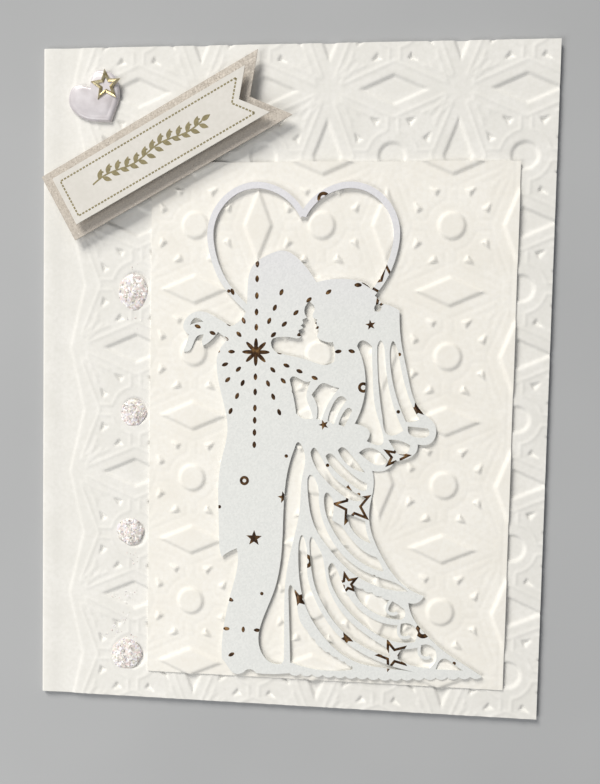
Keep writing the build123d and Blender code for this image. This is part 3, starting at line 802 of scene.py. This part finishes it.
run = np.linspace(SPRIG_START, SPRIG_END, 67)
sway = swaying(run)
stem = np.concatenate(
    [np.stack([run, sway - 0.16], -1), np.stack([run[::-1], sway[::-1] + 0.16], -1)]
)
root = np.linspace(SPRIG_START + 1.6, SPRIG_END - 1.8, LEAVES)
lift, ones = swaying(root), np.ones(LEAVES)
upper = np.stack([root, lift, 48 * ones, ones], -1)
lower = np.stack([root + 0.9, lift, -44 * ones, 0.95 * ones], -1)
berries = np.stack([root + 1.5, lift + 0.95, 0 * ones, ones], -1)
ink_print = together(
    [
        printed(dash, np.column_stack([stitches, np.ones(len(stitches))])),
        printed(leaf, upper),
        printed(leaf, lower, INK * 0.9),
        printed(circle(0.2, 8), berries),
        printed(leaf, (10.1, 0.1, 5, 1.0), INK * 1.1),
        printed(stem, (0, 0, 0, 1), INK * 1.2),
    ]
)
ink, tree, shader, place = finish("khaki_print_ink", {"IOR": 1.5, "Roughness": 0.45})
screen = add(tree, "ShaderNodeTexNoise", {"Scale": per_mm(0.5), "Detail": 3}, {"Vector": place})
ramp = add(tree, "ShaderNodeValToRGB", links={0: screen.outputs[0]})
stops(ramp, (0.35, "#857B58"), (0.65, "#9A8F69"))
tree.links.new(ramp.outputs[0], shader.inputs["Base Color"])
piece("label_print", ink_print, ink, 30)

# ---------------------------------------------------------------------------------------
# Heart. A small puffed charm with a pearl lacquer, clouded grey to lilac-white under a soft
# gloss: a flat foot, a rounded rim and a low crown set in from it. It is stuck near the corner.
# ---------------------------------------------------------------------------------------

HEART_AT = (card_low[0] + 12.3, card_high[1] - 11.2)
HEART_ANGLE = 33
HEART_W, HEART_L = 11.4, 10.6
heart_low, heart_high = (np.array(corner) * 1000 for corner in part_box("heart_charm"))


def smooth_run(points, count):
    """An open curve through the points: Catmull-Rom cubics, its ends turned outwards."""
    p = np.asarray(points, float)
    p = np.concatenate([[2 * p[0] - p[1]], p, [2 * p[-1] - p[-2]]])
    t = np.linspace(0, len(p) - 3, count)
    k = np.minimum(t.astype(int), len(p) - 4)
    u = (t - k)[:, None]
    a, b, c, d = (p[k + shift] for shift in range(4))
    return b + 0.5 * u * (c - a + u * (2 * a - 5 * b + 4 * c - d + u * (3 * (b - c) + d - a)))


half_outline = [(0, 0.31), (0.3, 0.47), (0.62, 0.5), (0.95, 0.33), (1, 0.1), (0.72, -0.2), (0, -0.5)]
right = smooth_run(np.array(half_outline) * (HEART_W / 2, HEART_L), 73)
rim = np.concatenate([right, right[-2:0:-1] * (-1, 1)])[::-1]
rim = rim @ turned_by(HEART_ANGLE) + HEART_AT
middle = rim.mean(0)
tall = heart_high[2] - heart_low[2]
profile = [  # scale about the middle, and height over the foot
    (0.94, 0), (0.985, 0.12), (1, 0.3), (0.99, 0.48), (0.965, 0.66), (0.92, 0.8),
    (0.87, 0.86), (0.82, 0.845), (0.79, 0.86), (0.74, 0.93), (0.66, 0.97), (0.5, 0.99),
    (0.3, 1), (0.12, 1),
]  # fmt: skip
loops = [
    np.column_stack([middle + (rim - middle) * k, np.full(len(rim), heart_low[2] + tall * z)])
    for k, z in profile
]
pearl_coat, tree, shader, place = finish(
    "pearl_lacquer",
    {"IOR": 1.5, "Coat Weight": 0.5, "Coat Roughness": 0.18, "Metallic": 0.1},
)
swirl = add(tree, "ShaderNodeTexNoise", {"Scale": per_mm(2.6), "Detail": 4}, {"Vector": place})
ramp = add(tree, "ShaderNodeValToRGB", links={0: swirl.outputs[0]})
stops(ramp, (0.3, "#D2CCD0"), (0.5, "#DCD7DC"), (0.72, "#E6E2E7"))
tree.links.new(ramp.outputs[0], shader.inputs["Base Color"])
gloss = add(tree, "ShaderNodeMapRange", {3: 0.3, 4: 0.5}, {0: swirl.outputs[0]})
tree.links.new(gloss.outputs[0], shader.inputs["Roughness"])
heart = piece("pearl_heart", wrapped(loops, ends=True), pearl_coat, 70)
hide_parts("heart_charm")

# ---------------------------------------------------------------------------------------
# Star. An open five-pointed star of polished gold metal, its band ridged along the middle
# so one side of each stroke is bright and the other dark. It is glued on the heart.
# ---------------------------------------------------------------------------------------

STAR_AT = (card_low[0] + 14.2, card_high[1] - 8.2)
STAR_ANGLE = 5
star_low, star_high = (np.array(corner) * 1000 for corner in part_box("gold_star"))
STAR_R, STAR_WAIST, STAR_BAND = 3.4, 1.55, 0.48
thick = star_high[2] - star_low[2]
loops = [
    np.column_stack(
        [
            star_outline(5, STAR_R, STAR_WAIST) * k @ turned_by(STAR_ANGLE) + STAR_AT,
            np.full(10, star_low[2] + thick * z),
        ]
    )
    for k, z in (
        (1, 0), (1, 0.45), (1 - STAR_BAND / 2, 1), (1 - STAR_BAND, 0.45), (1 - STAR_BAND, 0),
    )  # fmt: skip
]
gold, tree, shader, place = finish("polished_gold", {"Metallic": 0.8, "Roughness": 0.3})
# Painted highlights: lighter gold patches in the star's colour; the same noise sets its roughness.
painted_star_highlight = add(tree, "ShaderNodeTexNoise", {"Scale": per_mm(0.8), "Detail": 3}, {"Vector": place})
ramp = add(tree, "ShaderNodeValToRGB", links={0: painted_star_highlight.outputs[0]})
stops(ramp, (0.3, "#C6B27F"), (0.6, "#EADDB8"))
tree.links.new(ramp.outputs[0], shader.inputs["Base Color"])
gloss = add(tree, "ShaderNodeMapRange", {3: 0.16, 4: 0.32}, {0: painted_star_highlight.outputs[0]})
tree.links.new(gloss.outputs[0], shader.inputs["Roughness"])
star = piece("gold_outline_star", wrapped(loops), gold, 20)
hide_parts("gold_star")

# ---------------------------------------------------------------------------------------
# Glitter dabs. Clear glue full of iridescent flakes, dropped on the pressed circles of the
# left-hand column and dried to low lumpy domes, a few grains spilt beside them. Each flake
# tips its own way and shows pink, cream or lilac; some flash white, partly by their tilt and
# partly by painted highlight, white in their colour.

# Each dab's shift from its pressed circle, and its radius.
DABS = ((-0.8, -1.5, 3.2), (-0.5, -0.5, 2.8), (-1.0, 0.5, 2.9), (-1.6, 0.3, 3.4))
DAB_RISE = 0.55
ROUND = 60  # points round a dab
GRAINS = 90  # loose flakes on each
# Flakes at the top of the ramp are painted white as highlight; their tilt adds real flashes.
glue = glitter(
    "iridescent_glitter_glue",
    0.42,
    0.5,
    [(0, "#C9C4C4"), (0.12, "#E9E4DF"), (0.32, "#F4E4E1"), (0.48, "#EDEBE0"), (0.6, "#EBE7EF")]
    + [(0.74, "#FFFFFF")],
    {"IOR": 1.48, "Roughness": 0.3, "Coat Weight": 0.3, "Coat Roughness": 0.1},
)
for k, (dx, dy, radius) in enumerate(DABS):
    x0 = BASE_STAR[0] - 1.5 * BASE_PITCH + dx
    y0 = BASE_STAR[1] - (k + 1.5) * BASE_PITCH + dy
    draw = np.random.default_rng(20 + k)
    angle = np.arange(ROUND) / ROUND * 2 * np.pi
    out = np.array([0.0001, 0.14, 0.28, 0.42, 0.55, 0.68, 0.8, 0.9, 0.97, 1.0])[::-1]
    wave = sum(
        draw.uniform(0.01, 0.035) * np.cos(m * angle + draw.uniform(0, 6.28)) for m in (2, 3, 5, 7)
    )
    px = x0 + radius * out[:, None] * (1 + wave) * np.cos(angle)
    py = y0 + radius * out[:, None] * (1 + wave) * np.sin(angle) * (1.2 if k == 0 else 1)
    lumps = sum(
        np.cos(px * draw.uniform(1.5, 4) + py * draw.uniform(-4, 4) + draw.uniform(0, 6.28))
        for m in range(7)
    )
    dome = DAB_RISE * (1 - out**2)[:, None] ** 0.6
    pz = front_z + dome * (0.85 + 0.07 * lumps)
    foot = np.stack([px[0], py[0], np.full(ROUND, front_z - SQUEEZE)], -1)
    inner = foot[None] * (0.6, 0.6, 1) + np.array([x0, y0, 0]) * (0.4, 0.4, 0)
    loops = np.concatenate([inner, foot[None], np.stack([px, py, pz], -1)])
    spread = radius * 0.95 * np.sqrt(draw.uniform(0, 1, GRAINS))
    where = draw.uniform(0, 2 * np.pi, GRAINS)
    grain = flakes(
        x0 + spread * np.cos(where),
        y0 + spread * np.sin(where),
        front_z + DAB_RISE * (1 - (spread / radius) ** 2) ** 0.6 * 0.9,
        draw.uniform(0.3, 0.65, GRAINS),
        40 + k,
    )
    shape = together([wrapped(loops, ends=True), grain])
    dab = piece(f"glitter_dab_{k + 1}", shape, glue, 30)
    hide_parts(f"glitter_dot_{k + 1}")

draw = np.random.default_rng(77)
heaps = np.array(  # x, y, how far the grains scatter, and how many
    [(-37.3, -55.2, 1.8, 16), (-33, -56.6, 1.2, 10), (-35, -52.5, 2.0, 16), (-33, -39, 1.6, 12)]
    + [(-34.8, -47, 2.4, 10), (-33.2, 12.6, 2.2, 8), (-34, 23.8, 1.5, 6)]
)
spilt = np.concatenate([draw.normal(h[:2], h[2] / 2, (int(h[3]), 2)) for h in heaps])
size = draw.uniform(0.18, 0.4, len(spilt))
spill = flakes(spilt[:, 0], spilt[:, 1], np.full(len(spilt), front_z + 0.05), size, 78)
piece("spilt_glitter", spill, glue, 10)

# ---------------------------------------------------------------------------------------
# Room. A plain pale floor, a large soft lamp over the card's head, a smaller one to the left
# of its foot and a grey sky.
# ---------------------------------------------------------------------------------------

FLOOR = 12.0
spots = np.array([(-1, -1, 0), (1, -1, 0), (1, 1, 0), (-1, 1, 0)]) * FLOOR / 2
table_top = bpy.data.meshes.new("floor")
table_top.from_pydata((spots + (0, 0, card_low[2] / 1000 - 0.00002)).tolist(), [], [(0, 1, 2, 3)])
floor = bpy.data.objects.new("floor", table_top)
bpy.context.scene.collection.objects.link(floor)
plain, tree, shader, place = finish("plain_floor", {"Roughness": 0.9, "Specular IOR Level": 0.15})
haze = add(tree, "ShaderNodeTexNoise", {"Scale": per_mm(60)}, {"Vector": place})
ramp = add(tree, "ShaderNodeValToRGB", links={0: haze.outputs[0]})
stops(ramp, (0.3, "#B3B5B8"), (0.7, "#B9BBBE"))
tree.links.new(ramp.outputs[0], shader.inputs["Base Color"])
table_top.materials.append(plain)


def lamp(name, spot, size, power, colour="#FFFFFF"):
    """A square area lamp that looks at the middle of the card."""
    light = bpy.data.lights.new(name, "AREA")
    light.size, light.energy, light.color = size, power, linear(colour)[:3]
    held = bpy.data.objects.new(name, light)
    held.location = spot
    held.rotation_euler = (-Vector(spot)).to_track_quat("-Z", "Y").to_euler()
    bpy.context.scene.collection.objects.link(held)


lamp("key", (-0.88, 1.6, 1.44), 0.96, 45.0, "#FFFBF3")
lamp("fill", (-0.36, -0.26, 0.46), 0.35, 1.55, "#FFFDF8")
world = bpy.data.worlds.new("studio")
bpy.context.scene.world = world
world.use_nodes = True
world.node_tree.nodes["Background"].inputs[0].default_value = linear("#E6E8EC")
world.node_tree.nodes["Background"].inputs[1].default_value = 0.27

# ---------------------------------------------------------------------------------------
# Camera. Held by hand a little to the right of the card, looking down on it.
# ---------------------------------------------------------------------------------------

FRAME_LONG, FOCAL, RAISED = 784, 900, 50  # frame's long side, lens and shift, in one unit
bpy.context.scene.view_settings.view_transform = "Standard"
eye = bpy.data.cameras.new("camera")
eye.sensor_width = 36
eye.lens = FOCAL / FRAME_LONG * eye.sensor_width
eye.shift_y = RAISED / FRAME_LONG
eye.clip_start = 0.01
camera = bpy.data.objects.new("camera", eye)
bpy.context.scene.collection.objects.link(camera)
lean = Vector(np.radians((3.484, -6.169, -1.362)))
turned = Matrix.Rotation(lean.length, 3, lean.normalized()).transposed().to_4x4()
camera.matrix_world = Matrix.Translation((0.02322, -0.00089, 0.19093)) @ turned
bpy.context.scene.camera = camera
